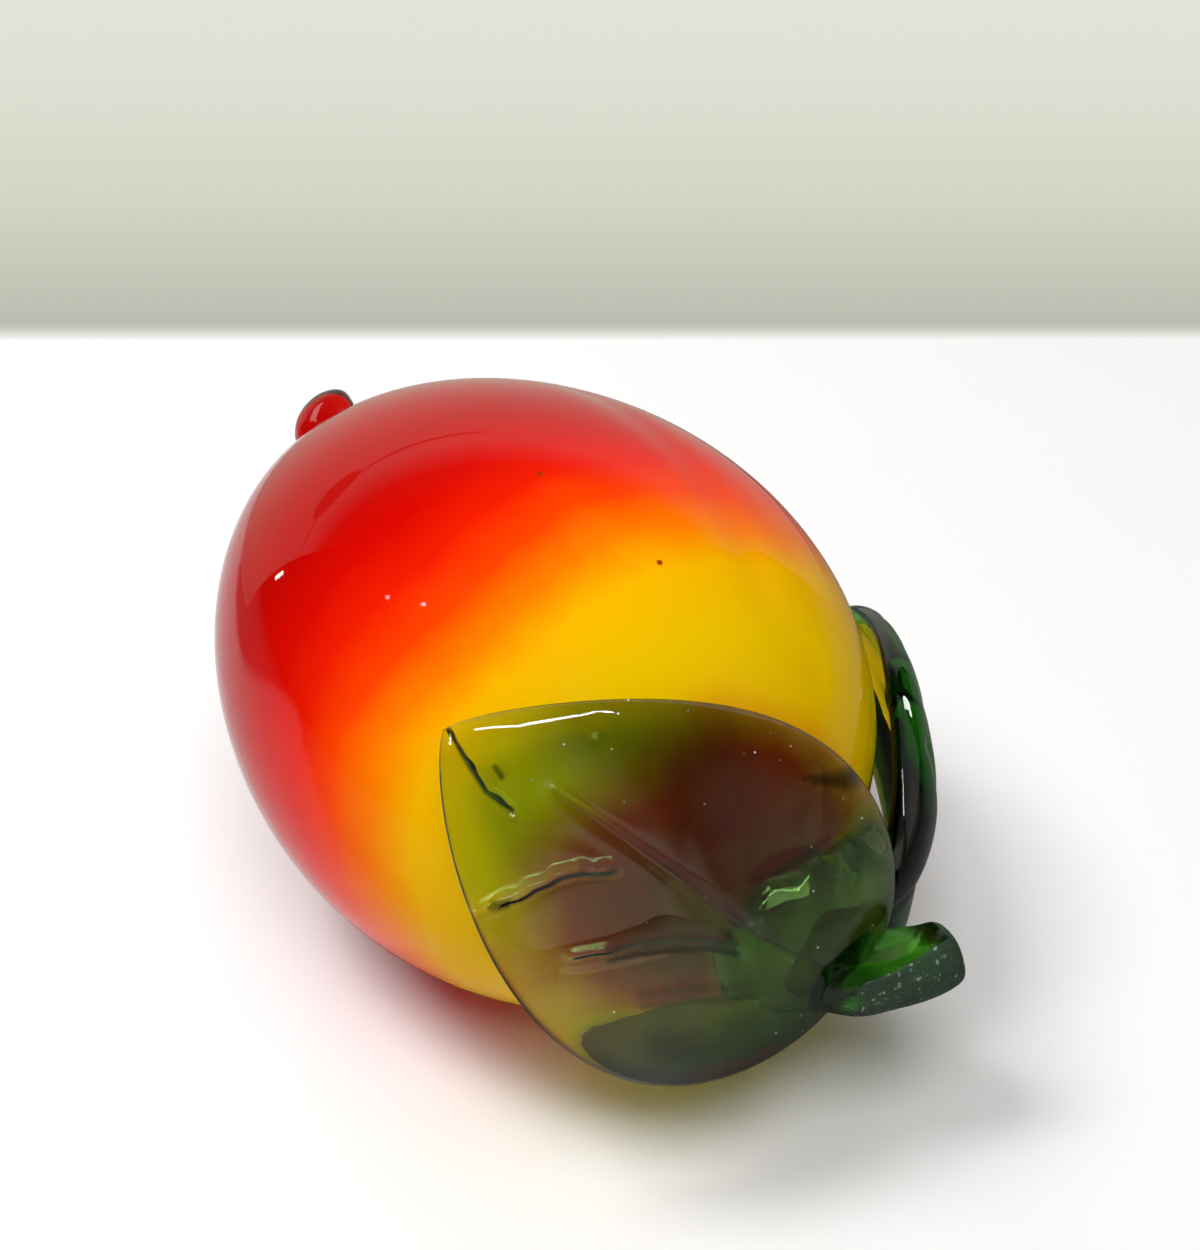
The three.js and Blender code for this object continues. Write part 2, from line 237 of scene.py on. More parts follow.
under = flow.node("ShaderNodeClamp", {}, {
    "Value": UNDER_START - spot.dot((0, 0, 1)), "Min": 0.0, "Max": UNDER_END})
ripe = (spot.dot((1, 0, 0)) - FAR_SIDE_LAG * far_side - UNDER_LAG * under
        + RIPE_WANDER * (streak - 0.5))
band = flow.node("ShaderNodeMapRange", {}, {"Value": ripe, "From Min": RED_END, "From Max": YELLOW_END})
ripe_colour = flow.node("ShaderNodeValToRGB", {"stops": [
    (0.00, (0.36, 0.001, 0.0)), (0.30, (0.44, 0.001, 0.0)), (0.40, (0.58, 0.002, 0.0)),
    (0.475, (0.74, 0.010, 0.0)), (0.54, (0.88, 0.05, 0.0)), (0.60, (0.92, 0.19, 0.0)),
    (0.66, (0.86, 0.43, 0.0)), (0.76, (0.79, 0.49, 0.0)), (1.00, (0.74, 0.42, 0.0))]}, {0: band})
squeezed = flow.node("ShaderNodeVectorMath", {"operation": "MULTIPLY"}, {0: spot, 1: BLUSH_STRETCH})
blush = squeezed.distance(BLUSH_MIDDLE) + BLUSH_WANDER * (streak - 0.5)
blush_colour = flow.node("ShaderNodeValToRGB", {"stops": [
    (0.0, (0.30, 0.012, 0.006)), (0.55, (0.50, 0.035, 0.004)), (1.0, (0.72, 0.18, 0.0))]},
    {0: blush.rise(*BLUSH_DEPTH)})
neck = spot.dot((1, 0, 0)).rise(*NECK_START) * (1 - spot.dot((0, 0, 1)).rise(*NECK_TOP))
ripe_colour = blush.rise(*BLUSH_EDGE).blend(blush_colour, ripe_colour)
ripe_colour = neck.blend(ripe_colour, NECK_COLOUR)
for x, y, z, radius in SPECKS:
    gap = spot.distance((x, y, z)) + SPECK_WANDER * (streak - 0.5)
    ripe_colour = gap.rise(radius * SPECK_CORE, radius).blend(SPECK_COLOUR, ripe_colour)
skin = flow.node("ShaderNodeBsdfPrincipled", {}, {
    "Base Color": ripe_colour, "Roughness": 0.03, "IOR": GLASS_IOR, "Specular IOR Level": 0.2})
flow.node("ShaderNodeOutputMaterial", {}, {"Surface": skin})

casing = skin_of("cased_fruit", [wall], cased)
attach(casing, "root")
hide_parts("clear_casing", "color_overlay")


# Blossom tip: a drop of clear red glass drawn out at the blossom end and bent over.
# It was pulled from the hot wall and sheared, so it is fused to the casing.
TIP_WIDTH, TIP_LENGTH, TIP_LEAN, TIP_TAPER, TIP_SINK = 0.011, 0.0075, 0.0083, 0.42, 0.0012
TIP_POLAR, TIP_AZIMUTH = math.radians(166), math.radians(75)
LEAN_TURN, LEAN_RISE = math.radians(47), math.radians(17)


def pulled(name, bends, radius, end_fullness, rows, columns, material, worked=None):
    """A lump of glass pulled along a curve with one bend, with blunt rounded ends."""
    t, angle = np.meshgrid((1 - np.cos(np.linspace(0, math.pi, rows))) / 2,
                           np.linspace(0, 2 * math.pi, columns), indexing="ij")
    a, b, c = (np.array(p, float) for p in bends)
    line = ((1 - t)**2)[..., None] * a + (2 * t * (1 - t))[..., None] * b + (t**2)[..., None] * c
    ahead = (2 * (1 - t))[..., None] * (b - a) + (2 * t)[..., None] * (c - b)
    ahead /= np.linalg.norm(ahead, axis=-1, keepdims=True)
    across = np.cross(np.array([0, 0, 1.0]), ahead)
    across /= np.linalg.norm(across, axis=-1, keepdims=True)
    rise = np.cross(ahead, across)
    r = radius(t, angle) * np.maximum(1 - np.abs(2 * t - 1)**end_fullness, 0)**(1 / end_fullness)
    return skin_of(name, [line + (r * np.cos(angle))[..., None] * across
                          + (r * np.sin(angle))[..., None] * rise], material,
                   worked and worked(t, angle))


red, flow = new_finish("clear_red_glass")
spot = flow.node("ShaderNodeTexCoord", out="Object")
ripple = flow.node("ShaderNodeTexNoise", {}, {"Vector": spot, "Scale": 350.0, "Detail": 2.0})
bump = flow.node("ShaderNodeBump", {}, {"Strength": 0.2, "Distance": 0.0006, "Height": ripple})
skin = flow.node("ShaderNodeBsdfPrincipled", {}, {
    "Base Color": (0.98, 0.85, 0.82, 1), "Roughness": 0.02, "IOR": GLASS_IOR,
    "Transmission Weight": 1.0, "Normal": bump})
tint = flow.node("ShaderNodeVolumeAbsorption", {}, {"Color": (0.90, 0.08, 0.02, 1), "Density": 800.0})
flow.node("ShaderNodeOutputMaterial", {}, {"Surface": skin, "Volume": tint})

tip_way = unit(np.array(TIP_POLAR), np.array(TIP_AZIMUTH))
tip_root, tip_middle = fruit_point(tip_way, -TIP_SINK), fruit_point(tip_way, TIP_LENGTH / 2)
tip_end = fruit_point(tip_way, TIP_LENGTH) + TIP_LEAN * np.array([
    math.cos(LEAN_RISE) * math.cos(LEAN_TURN), math.cos(LEAN_RISE) * math.sin(LEAN_TURN),
    math.sin(LEAN_RISE)])
tip = pulled("blossom_drop", (tip_root, tip_middle, tip_end),
             lambda t, angle: TIP_WIDTH / 2 * (1 - TIP_TAPER * t),
             end_fullness=3.0, rows=61, columns=73, material=red)
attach(tip, "root")
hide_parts("blossom_tip")


# Neck seal: a gob of green glass dropped on the neck when the pipe was cracked off.
# It closes the blowing hole, and the leaves and stem are pressed into it while it is soft.
SEAL_WIDTH, SEAL_HEIGHT = 0.028, 0.009
DENT_AT, DENT_BREADTH, DENT_DEPTH = math.radians(40), 40, 0.14
GREEN = (0.36, 0.744, 0.05, 1)
# Where the painted shade on the lower part of the green glass lies and how it fades in.
LOW_SHADE_LEAN, LOW_SHADE_AT, LOW_SHADE_WANDER, LOW_SHADE_FADE = 0.6, 0.070, 0.010, (-0.010, 0.016)
PATCH_FADE, DUST_FADE, DUST_SHARE = (0.42, 0.58), (0.025, 0.055), 0.85


def green_glass(name, density, ripple_scale, ripple_depth, shaded_tints, pale, painted_tint=None, dusty=False):
    """Green glass with painted shade that makes it darker low down, and tinted with painted light where
    the mesh is marked.
    """
    made, flow = new_finish(name)
    spot = flow.node("ShaderNodeTexCoord", out="Object")
    ripple = flow.node("ShaderNodeTexNoise", {}, {
        "Vector": spot, "Scale": ripple_scale, "Detail": 3.0})
    bump = flow.node("ShaderNodeBump", {}, {
        "Strength": 0.16, "Distance": ripple_depth, "Height": ripple})
    # Painted shade: below this slanted level the glass takes the darker shaded tints.
    low = spot.dot((-LOW_SHADE_LEAN, 0, 1)) + LOW_SHADE_LEAN * LOW_SHADE_AT + LOW_SHADE_WANDER * (ripple - 0.5)
    patch = flow.node("ShaderNodeTexNoise", {}, {"Vector": spot, "Scale": 75.0, "Detail": 1.0})
    tone = low.rise(*LOW_SHADE_FADE).blend(patch.rise(*PATCH_FADE).blend(*shaded_tints), pale)
    if painted_tint:
        worked = flow.node("ShaderNodeAttribute", {"attribute_name": "worked"}, out="Fac")
        tone = worked.blend(tone, painted_tint)
    skin = flow.node("ShaderNodeBsdfPrincipled", {}, {
        "Base Color": tone, "Roughness": 0.015, "IOR": GLASS_IOR, "Transmission Weight": 1.0,
        "Normal": bump})
    if dusty:
        cells = flow.node("ShaderNodeTexVoronoi", {}, {"Vector": spot, "Scale": 260.0})
        fluff = flow.node("ShaderNodeBsdfPrincipled", {}, {
            "Base Color": (0.7, 0.7, 0.64, 1), "Roughness": 0.7})
        covered = DUST_SHARE - DUST_SHARE * cells.rise(*DUST_FADE)
        skin = flow.node("ShaderNodeMixShader", {}, {0: covered, 1: skin, 2: fluff})
    tint = flow.node("ShaderNodeVolumeAbsorption", {}, {"Color": GREEN, "Density": density})
    flow.node("ShaderNodeOutputMaterial", {}, {"Surface": skin, "Volume": tint})
    return made


seal_glass = green_glass(
    "seal_green_glass", density=75.0, ripple_scale=260.0, ripple_depth=0.0008,
    shaded_tints=((0.9, 0.95, 0.85, 1), (0.8, 0.95, 0.8, 1)), pale=(0.95, 1.0, 0.9, 1))
polar, azimuth = np.meshgrid(np.linspace(0, math.pi, 91), np.linspace(0, 2 * math.pi, 145),
                             indexing="ij")
lump = 1 + (0.05 * np.sin(3 * azimuth + 0.6) + 0.04 * np.sin(5 * azimuth - 1.1)) * np.sin(polar)
lump += 0.025 * np.sin(8 * azimuth + 5 * polar) * np.sin(polar)**2
dent_away = np.degrees(np.angle(np.exp(1j * (azimuth - DENT_AT))))
lump -= DENT_DEPTH * np.exp(-(dent_away / DENT_BREADTH)**2) * np.sin(polar)
gob = np.stack([STEM_POLE + SEAL_HEIGHT * np.cos(polar),
                SEAL_WIDTH / 2 * lump * np.sin(polar) * np.cos(azimuth),
                SEAL_WIDTH / 2 * lump * np.sin(polar) * np.sin(azimuth)], -1)
seal = skin_of("green_gob", [gob], seal_glass)
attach(seal, "root")
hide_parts("neck_seal")


# Front leaf: a pat of green glass pressed flat with a veined crimp, bent over the fruit
# while hot and stuck to the seal by its broad base.
def ease(value, low, high):
    """0 up to low and 1 from high, smooth between."""
    share = np.clip((value - low) / (high - low), 0, 1)
    return share * share * (3 - 2 * share)


RIM_FULLNESS, END_FULLNESS, TIP_THINNING = 6, 10, 0.36
BLADE_START, CREASE_WAVE = (0.22, 0.5), 0.16


def leaf_skin(name, material, length, side_width, other_width, thickness, base_at, azimuth, turn, bow,
              base_blunt, tip_blunt, seat_lift, foot_drop, tip_lift, side_curl, other_curl, thinned,
              creases, marks, rows, columns):
    """A closed blade laid over the fruit, curled at its sides and creased on either face."""
    former = HALF_WIDTH * (1 + FULLNESS) + SEAL_HEIGHT
    polar = (base_at + length / 2) / former
    middle = unit(np.array(polar), np.array(azimuth))
    away = unit(np.array(polar + math.pi / 2), np.array(azimuth))
    to_tip = np.cos(turn) * away + np.sin(turn) * np.cross(middle, away)
    sideways = np.cross(to_tip, middle)
    even = np.linspace(0, 1, rows), np.linspace(-1, 1, columns)
    u, v = np.meshgrid((even[0] + (1 - np.cos(math.pi * even[0])) / 2) / 2,
                       (even[1] + np.sin(math.pi / 2 * even[1])) / 2, indexing="ij")
    widest = base_blunt / (base_blunt + tip_blunt)
    outline = (u / widest)**base_blunt * ((1 - u) / (1 - widest))**tip_blunt
    forward = (u - 0.5) * length
    across = np.where(v > 0, side_width, other_width) * v * outline + bow * (4 * (u - 0.5)**2 - 1)
    angle = np.maximum(np.hypot(forward, across) / former, 1e-9)
    spread = np.sin(angle) / angle / former
    way = (np.cos(angle)[..., None] * middle + (spread * forward)[..., None] * to_tip
           + (spread * across)[..., None] * sideways)
    settle = (1 - u)**2
    lift = (seat_lift * settle + tip_lift * (1 - settle) - foot_drop * (1 - u)**12
            + np.where(v > 0, side_curl, other_curl) * v**2 * np.sin(math.pi * u**0.7))
    body = np.sqrt(np.maximum(1 - np.abs(v)**RIM_FULLNESS, 0)
                   * np.maximum(1 - np.abs(2 * u - 1)**END_FULLNESS, 0))
    half = thickness / 2 * body * (1 - thinned * (1 - v**2)**2 * ease(u, *BLADE_START))
    half = half * (1 - TIP_THINNING * np.clip((u - 0.5) / 0.5, 0, 1)**2)
    outer, inner = lift + half, lift - half
    for face, depth, breadth, line in creases:
        cut = depth * np.exp(-(distance_to(line, forward + length / 2, across) / breadth)**2) * body
        if face == "outer":
            outer = outer - cut
        else:
            wave = (np.sin(700 * forward + 1700 * across) + np.sin(1130 * across - 1510 * forward + 1)
                    + np.sin(2350 * forward + 410 * across + 2))
            inner = inner + cut * (1 + CREASE_WAVE * wave)
    worked = marks(u, v, forward + length / 2, across)
    return skin_of(name, [fruit_point(way, outer), fruit_point(way, inner)], material,
                   np.stack([worked, worked]))


def in_mm(*pairs):
    """Points of a leaf, given in mm along and across it."""
    return [(a / 1000, b / 1000) for a, b in pairs]


# The front leaf's painted tint is the dark green of its painted shade.
leaf_glass = green_glass(
    "leaf_green_glass", density=262.0, ripple_scale=120.0, ripple_depth=0.0003,
    shaded_tints=((0.30, 0.13, 0.14, 1), (0.12, 0.20, 0.14, 1)), pale=(0.98, 1.0, 0.95, 1),
    painted_tint=(0.04, 0.07, 0.04, 1), dusty=True)
MIDRIB = in_mm((8, 0.3), (22, 0.9), (30.3, 1.3), (39.2, 2.7), (48.9, 3.2), (60.3, 3.2))
FOLD = in_mm((75.4, 0.5), (70.4, -1.6), (66.5, -3.1), (62.7, -2.8))
LOW_FOLD = in_mm((62.7, -2.8), (53.6, 0.2), (48.9, 0.9), (35.3, 1.0))
LOW_VEINS = (in_mm((56.3, -17.7), (55, -13.5), (53.1, -7.1), (50.9, -3.7), (48, -1.3)),
             in_mm((44.2, -14.9), (40.7, -10.8), (36.8, -6.4), (33.2, -3.7), (28, -1.6)),
             in_mm((32.6, -14.1), (28.3, -10.5), (20.5, -6.3)),
             in_mm((31.2, -15.5), (26.3, -12.6), (21.8, -10.2)))
HIGH_VEINS = (in_mm((52, 5), (57, 10), (60, 16)), in_mm((41, 5), (47, 11), (51, 19)),
              in_mm((31, 4), (37, 11), (42, 21)))
DASH = in_mm((67.8, 0.7), (66.2, 0.1))
DARK_VEIN = in_mm((40.7, -11.4), (38.4, -8.4), (35.3, -5.5), (31.8, -3.3), (27.5, -1.9))
VEIN_END = in_mm((56.0, -15.5), (54.9, -13.7))
EDGE_FOLD = in_mm((29.2, 22.3), (26.6, 23.4), (21.6, 24.8), (18.5, 26.6))
CREASES = [("outer", 0.0006, 0.0011, MIDRIB), ("outer", 0.0004, 0.0006, FOLD),
           ("outer", 0.0002, 0.0016, LOW_FOLD), ("inner", 0.0007, 0.0005, FOLD),
           ("inner", 0.0010, 0.0009, LOW_VEINS[0]), ("inner", 0.0006, 0.0007, LOW_VEINS[1][:2])]
CREASES += [("outer", 0.0002, 0.0014, line) for line in LOW_VEINS]
CREASES += [("outer", 0.00007, 0.0016, line) for line in HIGH_VEINS]
# Places and sizes of two dark patches of painted shade on the front leaf.
LOBE_MIDDLE, LOBE_SIZE = (0.0160, 0.0183), 0.0042
SHADE_PATCH_MIDDLE, SHADE_PATCH_SIZE = (0.0245, -0.0178), (0.006, 0.003)


def front_painted_shade(u, v, along, across):
    """Painted shade on the leaf: dark lines on its veins, folds, dash and midrib, a dark edge, and dark
    patches on the lower lobe and near the base.
    """
    def stroke(amount, breadth, line):
        return amount * np.exp(-(distance_to(line, along, across) / breadth)**4)

    shade = 0.42 * ease(u, 0.40, 0.65) * (1 - ease(u, 0.80, 0.94)) * ease(v, 0.15, 0.65)
    strokes = [stroke(0.95, 0.0005, DARK_VEIN), stroke(0.6, 0.0007, LOW_VEINS[2]),
               stroke(0.95, 0.00045, FOLD), stroke(0.9, 0.0003, DASH), stroke(0.3, 0.0004, MIDRIB),
               stroke(0.9, 0.0005, VEIN_END),
               stroke(0.8, 0.0004 + 0.0012 * (1 - ease(along, 0.020, 0.029)), EDGE_FOLD)]
    rim = 0.8 * ease(np.abs(v), 0.962, 0.99)
    low_rim = 0.75 * ease(-v, 0.86, 0.95) * (1 - ease(u, 0.28, 0.45))
    from_lobe = (along - LOBE_MIDDLE[0])**2 + (across - LOBE_MIDDLE[1])**2
    lobe = 0.75 * np.exp(-from_lobe / LOBE_SIZE**2)
    # Painted shade: a dark patch on the lower half of the blade.
    shade_patch = 0.6 * np.exp(-((along - SHADE_PATCH_MIDDLE[0]) / SHADE_PATCH_SIZE[0])**2
                         - ((across - SHADE_PATCH_MIDDLE[1]) / SHADE_PATCH_SIZE[1])**2)
    return np.max([shade, *strokes, rim, low_rim, lobe, shade_patch], 0)


front_leaf = leaf_skin(
    "front_leaf_glass", leaf_glass, length=0.076, side_width=0.0284, other_width=0.027,
    thickness=0.0032, base_at=-0.0057, azimuth=math.radians(135), turn=math.radians(-1.3),
    bow=-0.0014, base_blunt=0.54, tip_blunt=0.76, seat_lift=SEAL_HEIGHT + 0.002, foot_drop=0.0005,
    tip_lift=0.005, side_curl=-0.0045, other_curl=0.0046, thinned=0.0, creases=CREASES,
    marks=front_painted_shade, rows=221, columns=151)
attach(front_leaf, "root")
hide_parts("front_leaf")


# Rear leaf: the second pat, stuck to the far side of the seal and standing off the fruit,
# so that it is seen by its thick rolled rim.
# The rear leaf's painted tint is the fruit's yellow, painted on the blade as its reflection.
rear_glass = green_glass(
    "rear_leaf_green_glass", density=900.0, ripple_scale=140.0, ripple_depth=0.0006,
    shaded_tints=((0.6, 0.65, 0.55, 1), (0.5, 0.65, 0.5, 1)), pale=(0.6, 0.7, 0.5, 1), painted_tint=(1.0, 0.42, 0.0, 1))
REAR_CREASES = [("outer", 0.0006, 0.0012, in_mm((4, 0), (20, 1.5), (40, 2), (58, 0)))]
REAR_CREASES += [("outer", 0.0004, 0.0012,
                  in_mm((x, 1.5 * side), (x + 5, 8 * side), (x + 8, 17 * side)))
                 for x in (12, 21, 30, 39) for side in (-1, 1)]


def rear_painted_reflection(u, v, along, across):
    """Painted reflection: the thin blade is tinted with the yellow of the fruit beside it."""
    return ease(v, -0.78, -0.5)


rear_leaf = leaf_skin(
    "rear_leaf_glass", rear_glass, length=0.0596, side_width=0.022, other_width=0.0206,
    thickness=0.0046, base_at=SEAL_WIDTH / 2 - 0.002, azimuth=math.radians(-9.1),
    turn=math.radians(6.5), bow=0.0042, base_blunt=0.62, tip_blunt=0.7,
    seat_lift=SEAL_HEIGHT + 0.0012, foot_drop=0.0048, tip_lift=0.0058, side_curl=0.0081,
    other_curl=-0.0046, thinned=0.72, creases=REAR_CREASES, marks=rear_painted_reflection, rows=161, columns=121)
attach(rear_leaf, "root")
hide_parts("rear_leaf")


# Stem: a rod of green glass laid on the seal, folded along its upper side with the jacks
# and sheared off, which leaves the end blunt and the lower face frosted.
STEM_WIDTH, STEM_REACH, STEM_SWEEP, STEM_DROP, STEM_SINK = 0.010, 0.0085, 0.0135, 0.002, 0.0025
GROOVE_MIDDLE, GROOVE_TURN, LIP_AT, LIP_BREADTH, LIP_RISE = 80, 75, 0.86, 0.20, 0.12
SCOOP_DEPTH, SCOOP_BREADTH, ROOT_FLARE = 0.62, 0.52, 0.4
seal_top = STEM_POLE + SEAL_HEIGHT


def groove_at(t, angle):
    """The angle from the middle of the folded groove, and how far the groove is open there."""
    away = np.angle(np.exp(1j * (angle - np.radians(GROOVE_MIDDLE - GROOVE_TURN * (t - 0.5)))))
    return away, ease(t, 0.10, 0.40) * (1 - ease(t, 0.74, 0.97))


def stem_radius(t, angle):
    """Flared at the root, with the groove scooped out between two lips."""
    away, opened = groove_at(t, angle)
    lips = (np.exp(-((away - LIP_AT) / LIP_BREADTH)**2)
            + np.exp(-((away + LIP_AT) / LIP_BREADTH)**2))
    dents = 0.02 * np.sin(9 * t + 3 * angle) + 0.015 * np.sin(17 * t - 5 * angle)
    scoop = SCOOP_DEPTH * opened * np.exp(-(away / SCOOP_BREADTH)**2)
    flare = 1 + ROOT_FLARE * (1 - t)**2
    return STEM_WIDTH / 2 * flare * (1 - scoop + LIP_RISE * opened * lips + dents)


def stem_frost_and_painted_light(t, angle):
    """Above 0 where the glass is ground dull, below 0 on the groove's far wall, which gets painted
    light, a bright glow.
    """
    away, opened = groove_at(t, angle)
    dull = ease(away, 0.72, 0.92) * (1 - ease(away, 2.5, 2.9)) * ease(t, 0.22, 0.5)
    dull = np.maximum(dull, ease(t, 0.92, 0.99))
    painted_glow = opened * ease(away, -0.95, -0.8) * (1 - ease(away, -0.42, -0.25))
    return dull - painted_glow


def frosted(name, density):
    """Clear green glass that is ground and grainy where the shears and the table touched it, and
    painted bright green as painted light where the groove is marked.
    """
    made, flow = new_finish(name)
    spot = flow.node("ShaderNodeTexCoord", out="Object")
    grain = flow.node("ShaderNodeTexNoise", {}, {"Vector": spot, "Scale": 1400.0, "Detail": 4.0})
    worked = flow.node("ShaderNodeAttribute", {"attribute_name": "worked"}, out="Fac")
    ground = (worked + 0.4 * (grain - 0.5)).rise(0.25, 0.75)
    # Painted light: the groove's far wall turns a bright green matt colour in place of light shining
    # through it.
    lit = (0 - worked).rise(0.1, 0.9)
    chips = grain.rise(0.60, 0.70) * ground
    bump = flow.node("ShaderNodeBump", {}, {"Strength": 0.5, "Distance": 0.0003, "Height": grain})
    clear = flow.node("ShaderNodeBsdfPrincipled", {}, {
        "Base Color": (0.93, 0.97, 0.92, 1), "Roughness": 0.03 + 0.4 * ground, "IOR": GLASS_IOR,
        "Transmission Weight": 1.0, "Normal": bump})
    dull = chips.blend((0.027, 0.052, 0.031, 1), (0.26, 0.31, 0.26, 1))
    dull = lit.blend(dull, (0.07, 0.27, 0.03, 1))
    matt = flow.node("ShaderNodeBsdfPrincipled", {}, {
        "Base Color": dull, "Roughness": 0.6 - 0.5 * lit, "Normal": bump})
    skin = flow.node("ShaderNodeMixShader", {}, {0: 0.8 * ground + 0.75 * lit, 1: clear, 2: matt})
    tint = flow.node("ShaderNodeVolumeAbsorption", {}, {"Color": GREEN, "Density": density})
    flow.node("ShaderNodeOutputMaterial", {}, {"Surface": skin, "Volume": tint})
    return made


stem_glass = frosted("stem_green_glass", density=520.0)
stem_root, stem_end = (seal_top - STEM_SINK, 0, -STEM_DROP), (seal_top + STEM_REACH, STEM_SWEEP, 0)
stem = pulled("stem_rod", (stem_root, (seal_top + STEM_REACH / 2, 0, -STEM_DROP), stem_end),
              stem_radius, end_fullness=8.0, rows=161, columns=193, material=stem_glass,
              worked=stem_frost_and_painted_light)
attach(stem, "root")
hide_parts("stem")


# The set: a white table, a grey card behind the fruit and a camera above it.
# The card is seen from its front only, so that the other views pass it. Some lamps reach one
# piece only, to give it the lights that the photo shows on it.
CAMERA_AT, CAMERA_TO = Vector((0.1698, -0.131729, 0.193505)), Vector((0.01223, 0.014091, -0.001135))
PHOTO_HEIGHT, PHOTO_FOCUS, SENSOR = 1250, 1900, 36.0
sight = (CAMERA_TO - CAMERA_AT).normalized()
camera = bpy.data.objects.new("camera", bpy.data.cameras.new("camera"))
bpy.context.scene.collection.objects.link(camera)
camera.location = fruit_place.translation + CAMERA_AT
camera.rotation_euler = sight.to_track_quat("-Z", "Y").to_euler()
camera.data.sensor_width = SENSOR
camera.data.lens = PHOTO_FOCUS * SENSOR / PHOTO_HEIGHT
camera.data.clip_start = 0.01
bpy.context.scene.camera = camera

ahead = Vector((sight.x, sight.y, 0)).normalized()
right = Vector((ahead.y, -ahead.x, 0))
up = Vector((0, 0, 1))
ground = Vector((fruit_place.translation.x, fruit_place.translation.y, 0))


def stage_sheet(name, corners, material):
    """A flat sheet of the set, which is no part of the mango."""
    mesh = bpy.data.meshes.new(name)
    mesh.from_pydata([tuple(c) for c in corners], [], [(0, 1, 2, 3)])
    mesh.materials.append(material)
    made = bpy.data.objects.new(name, mesh)
    bpy.context.scene.collection.objects.link(made)
    return made


table_finish, flow = new_finish("white_table")
spot = flow.node("ShaderNodeNewGeometry", out="Position")
grain = flow.node("ShaderNodeTexNoise", {}, {"Vector": spot, "Scale": 40.0, "Detail": 3.0})
white = grain.blend((0.95, 0.955, 0.95, 1), (0.97, 0.97, 0.965, 1))
matt = flow.node("ShaderNodeBsdfDiffuse", {}, {"Color": white})
black = flow.node("ShaderNodeBsdfDiffuse", {}, {"Color": (0, 0, 0, 1)})


def mirror_rays(flow):
    """1 on rays that were mirrored, and 0 on those that passed through glass."""
    return (flow.node("ShaderNodeLightPath", out="Is Glossy Ray")
            * (1 - flow.node("ShaderNodeLightPath", out="Is Transmission Ray")))


def bearing(degrees):
    """A level direction, by its angle from the line of sight."""
    return math.cos(math.radians(degrees)) * ahead + math.sin(math.radians(degrees)) * right


def sector(place, sides, soft):
    """1 between two bearings from the fruit and 0 outside them."""
    first, second = (place.dot(bearing(side)).rise(0.0, soft) for side in sides)
    return first * second


FRONT_SIDES, LEFT_SIDES, SIDE_SIDES = (-128, 105), (-92, -90), (168, 62)
TABLE_SOFT, HIDDEN, FRONT_SHOWN, LEFT_SHOWN = 0.03, 0.8, 0.3, 0.6
mirrored = mirror_rays(flow)
place = flow.node("ShaderNodeVectorMath", {"operation": "SUBTRACT"}, {0: spot, 1: ground})
beyond = (0 - place.dot(right)).rise(0.16, 0.19) * place.dot(ahead).rise(0.02, 0.06)
beside = (sector(place, LEFT_SIDES, TABLE_SOFT) * (1 - beyond)
          * place.dot(ahead).rise(-0.085, -0.050))
hidden = HIDDEN - FRONT_SHOWN * sector(place, FRONT_SIDES, TABLE_SOFT) - LEFT_SHOWN * beside
top = flow.node("ShaderNodeMixShader", {}, {0: mirrored * hidden, 1: matt, 2: black})
flow.node("ShaderNodeOutputMaterial", {}, {"Surface": top})
stage_sheet("table", [(-2, -2, 0), (2, -2, 0), (2, 2, 0), (-2, 2, 0)], table_finish)

CARD_BACK, CARD_LEFT, CARD_RIGHT, CARD_TOP = 0.1402, 0.30, 0.20, 0.30
SEAM_TALL, PATCH_ASIDE, PATCH_TALL = 0.150, -0.165, 0.146
card_finish, flow = new_finish("grey_card")
tall = flow.node("ShaderNodeNewGeometry", out="Position").dot(up)
shade = flow.node("ShaderNodeValToRGB", {"stops": [
    (0.0, (0.93, 0.94, 0.91)), (0.006, (0.70, 0.705, 0.64)), (0.013, (0.50, 0.505, 0.43)),
    (0.12, (0.66, 0.665, 0.57)), (0.225, (0.753, 0.753, 0.665)), (0.40, (0.78, 0.78, 0.70)),
    (0.55, (0.85, 0.85, 0.80)), (0.61, (0.5, 0.5, 0.47)), (0.70, (0.12, 0.12, 0.11)),
    (1.0, (0.0, 0.0, 0.0))]},
    {0: flow.node("ShaderNodeMapRange", {}, {"Value": tall, "From Min": 0.0, "From Max": CARD_TOP})})
mirrored = mirror_rays(flow)
aside = flow.node("ShaderNodeNewGeometry", out="Position").dot(right) - ground.dot(right)
seam = 1 - flow.math("ABSOLUTE", tall - SEAM_TALL).rise(0.0006, 0.0022)
across, above = 20.0 * (aside - PATCH_ASIDE), 75.0 * (tall - PATCH_TALL)
patch = 1 - (across * across + above * above).rise(0.6, 1.1)
marks = flow.math("MAXIMUM", seam * (0 - aside).rise(0.010, 0.030), patch)
fade = 0.5 * aside.rise(0.03, 0.20) + 0.25 * (0 - aside).rise(0.06, 0.20)
fade = flow.math("MAXIMUM", fade, 0.8 * marks)
glow = flow.node("ShaderNodeEmission", {}, {"Color": (mirrored * fade).blend(shade, (0, 0, 0, 1))})
bare = flow.node("ShaderNodeBsdfTransparent")
back = flow.node("ShaderNodeNewGeometry", out="Backfacing")
sheet = flow.node("ShaderNodeMixShader", {}, {0: back, 1: glow, 2: bare})
flow.node("ShaderNodeOutputMaterial", {}, {"Surface": sheet})
foot = ground + CARD_BACK * ahead
low_left, low_right = foot - CARD_LEFT * right, foot + CARD_RIGHT * right
rise = CARD_TOP * up
card = stage_sheet("grey_card", [low_left, low_right, low_right + rise, low_left + rise], card_finish)
card.visible_shadow = False
card.visible_diffuse = False

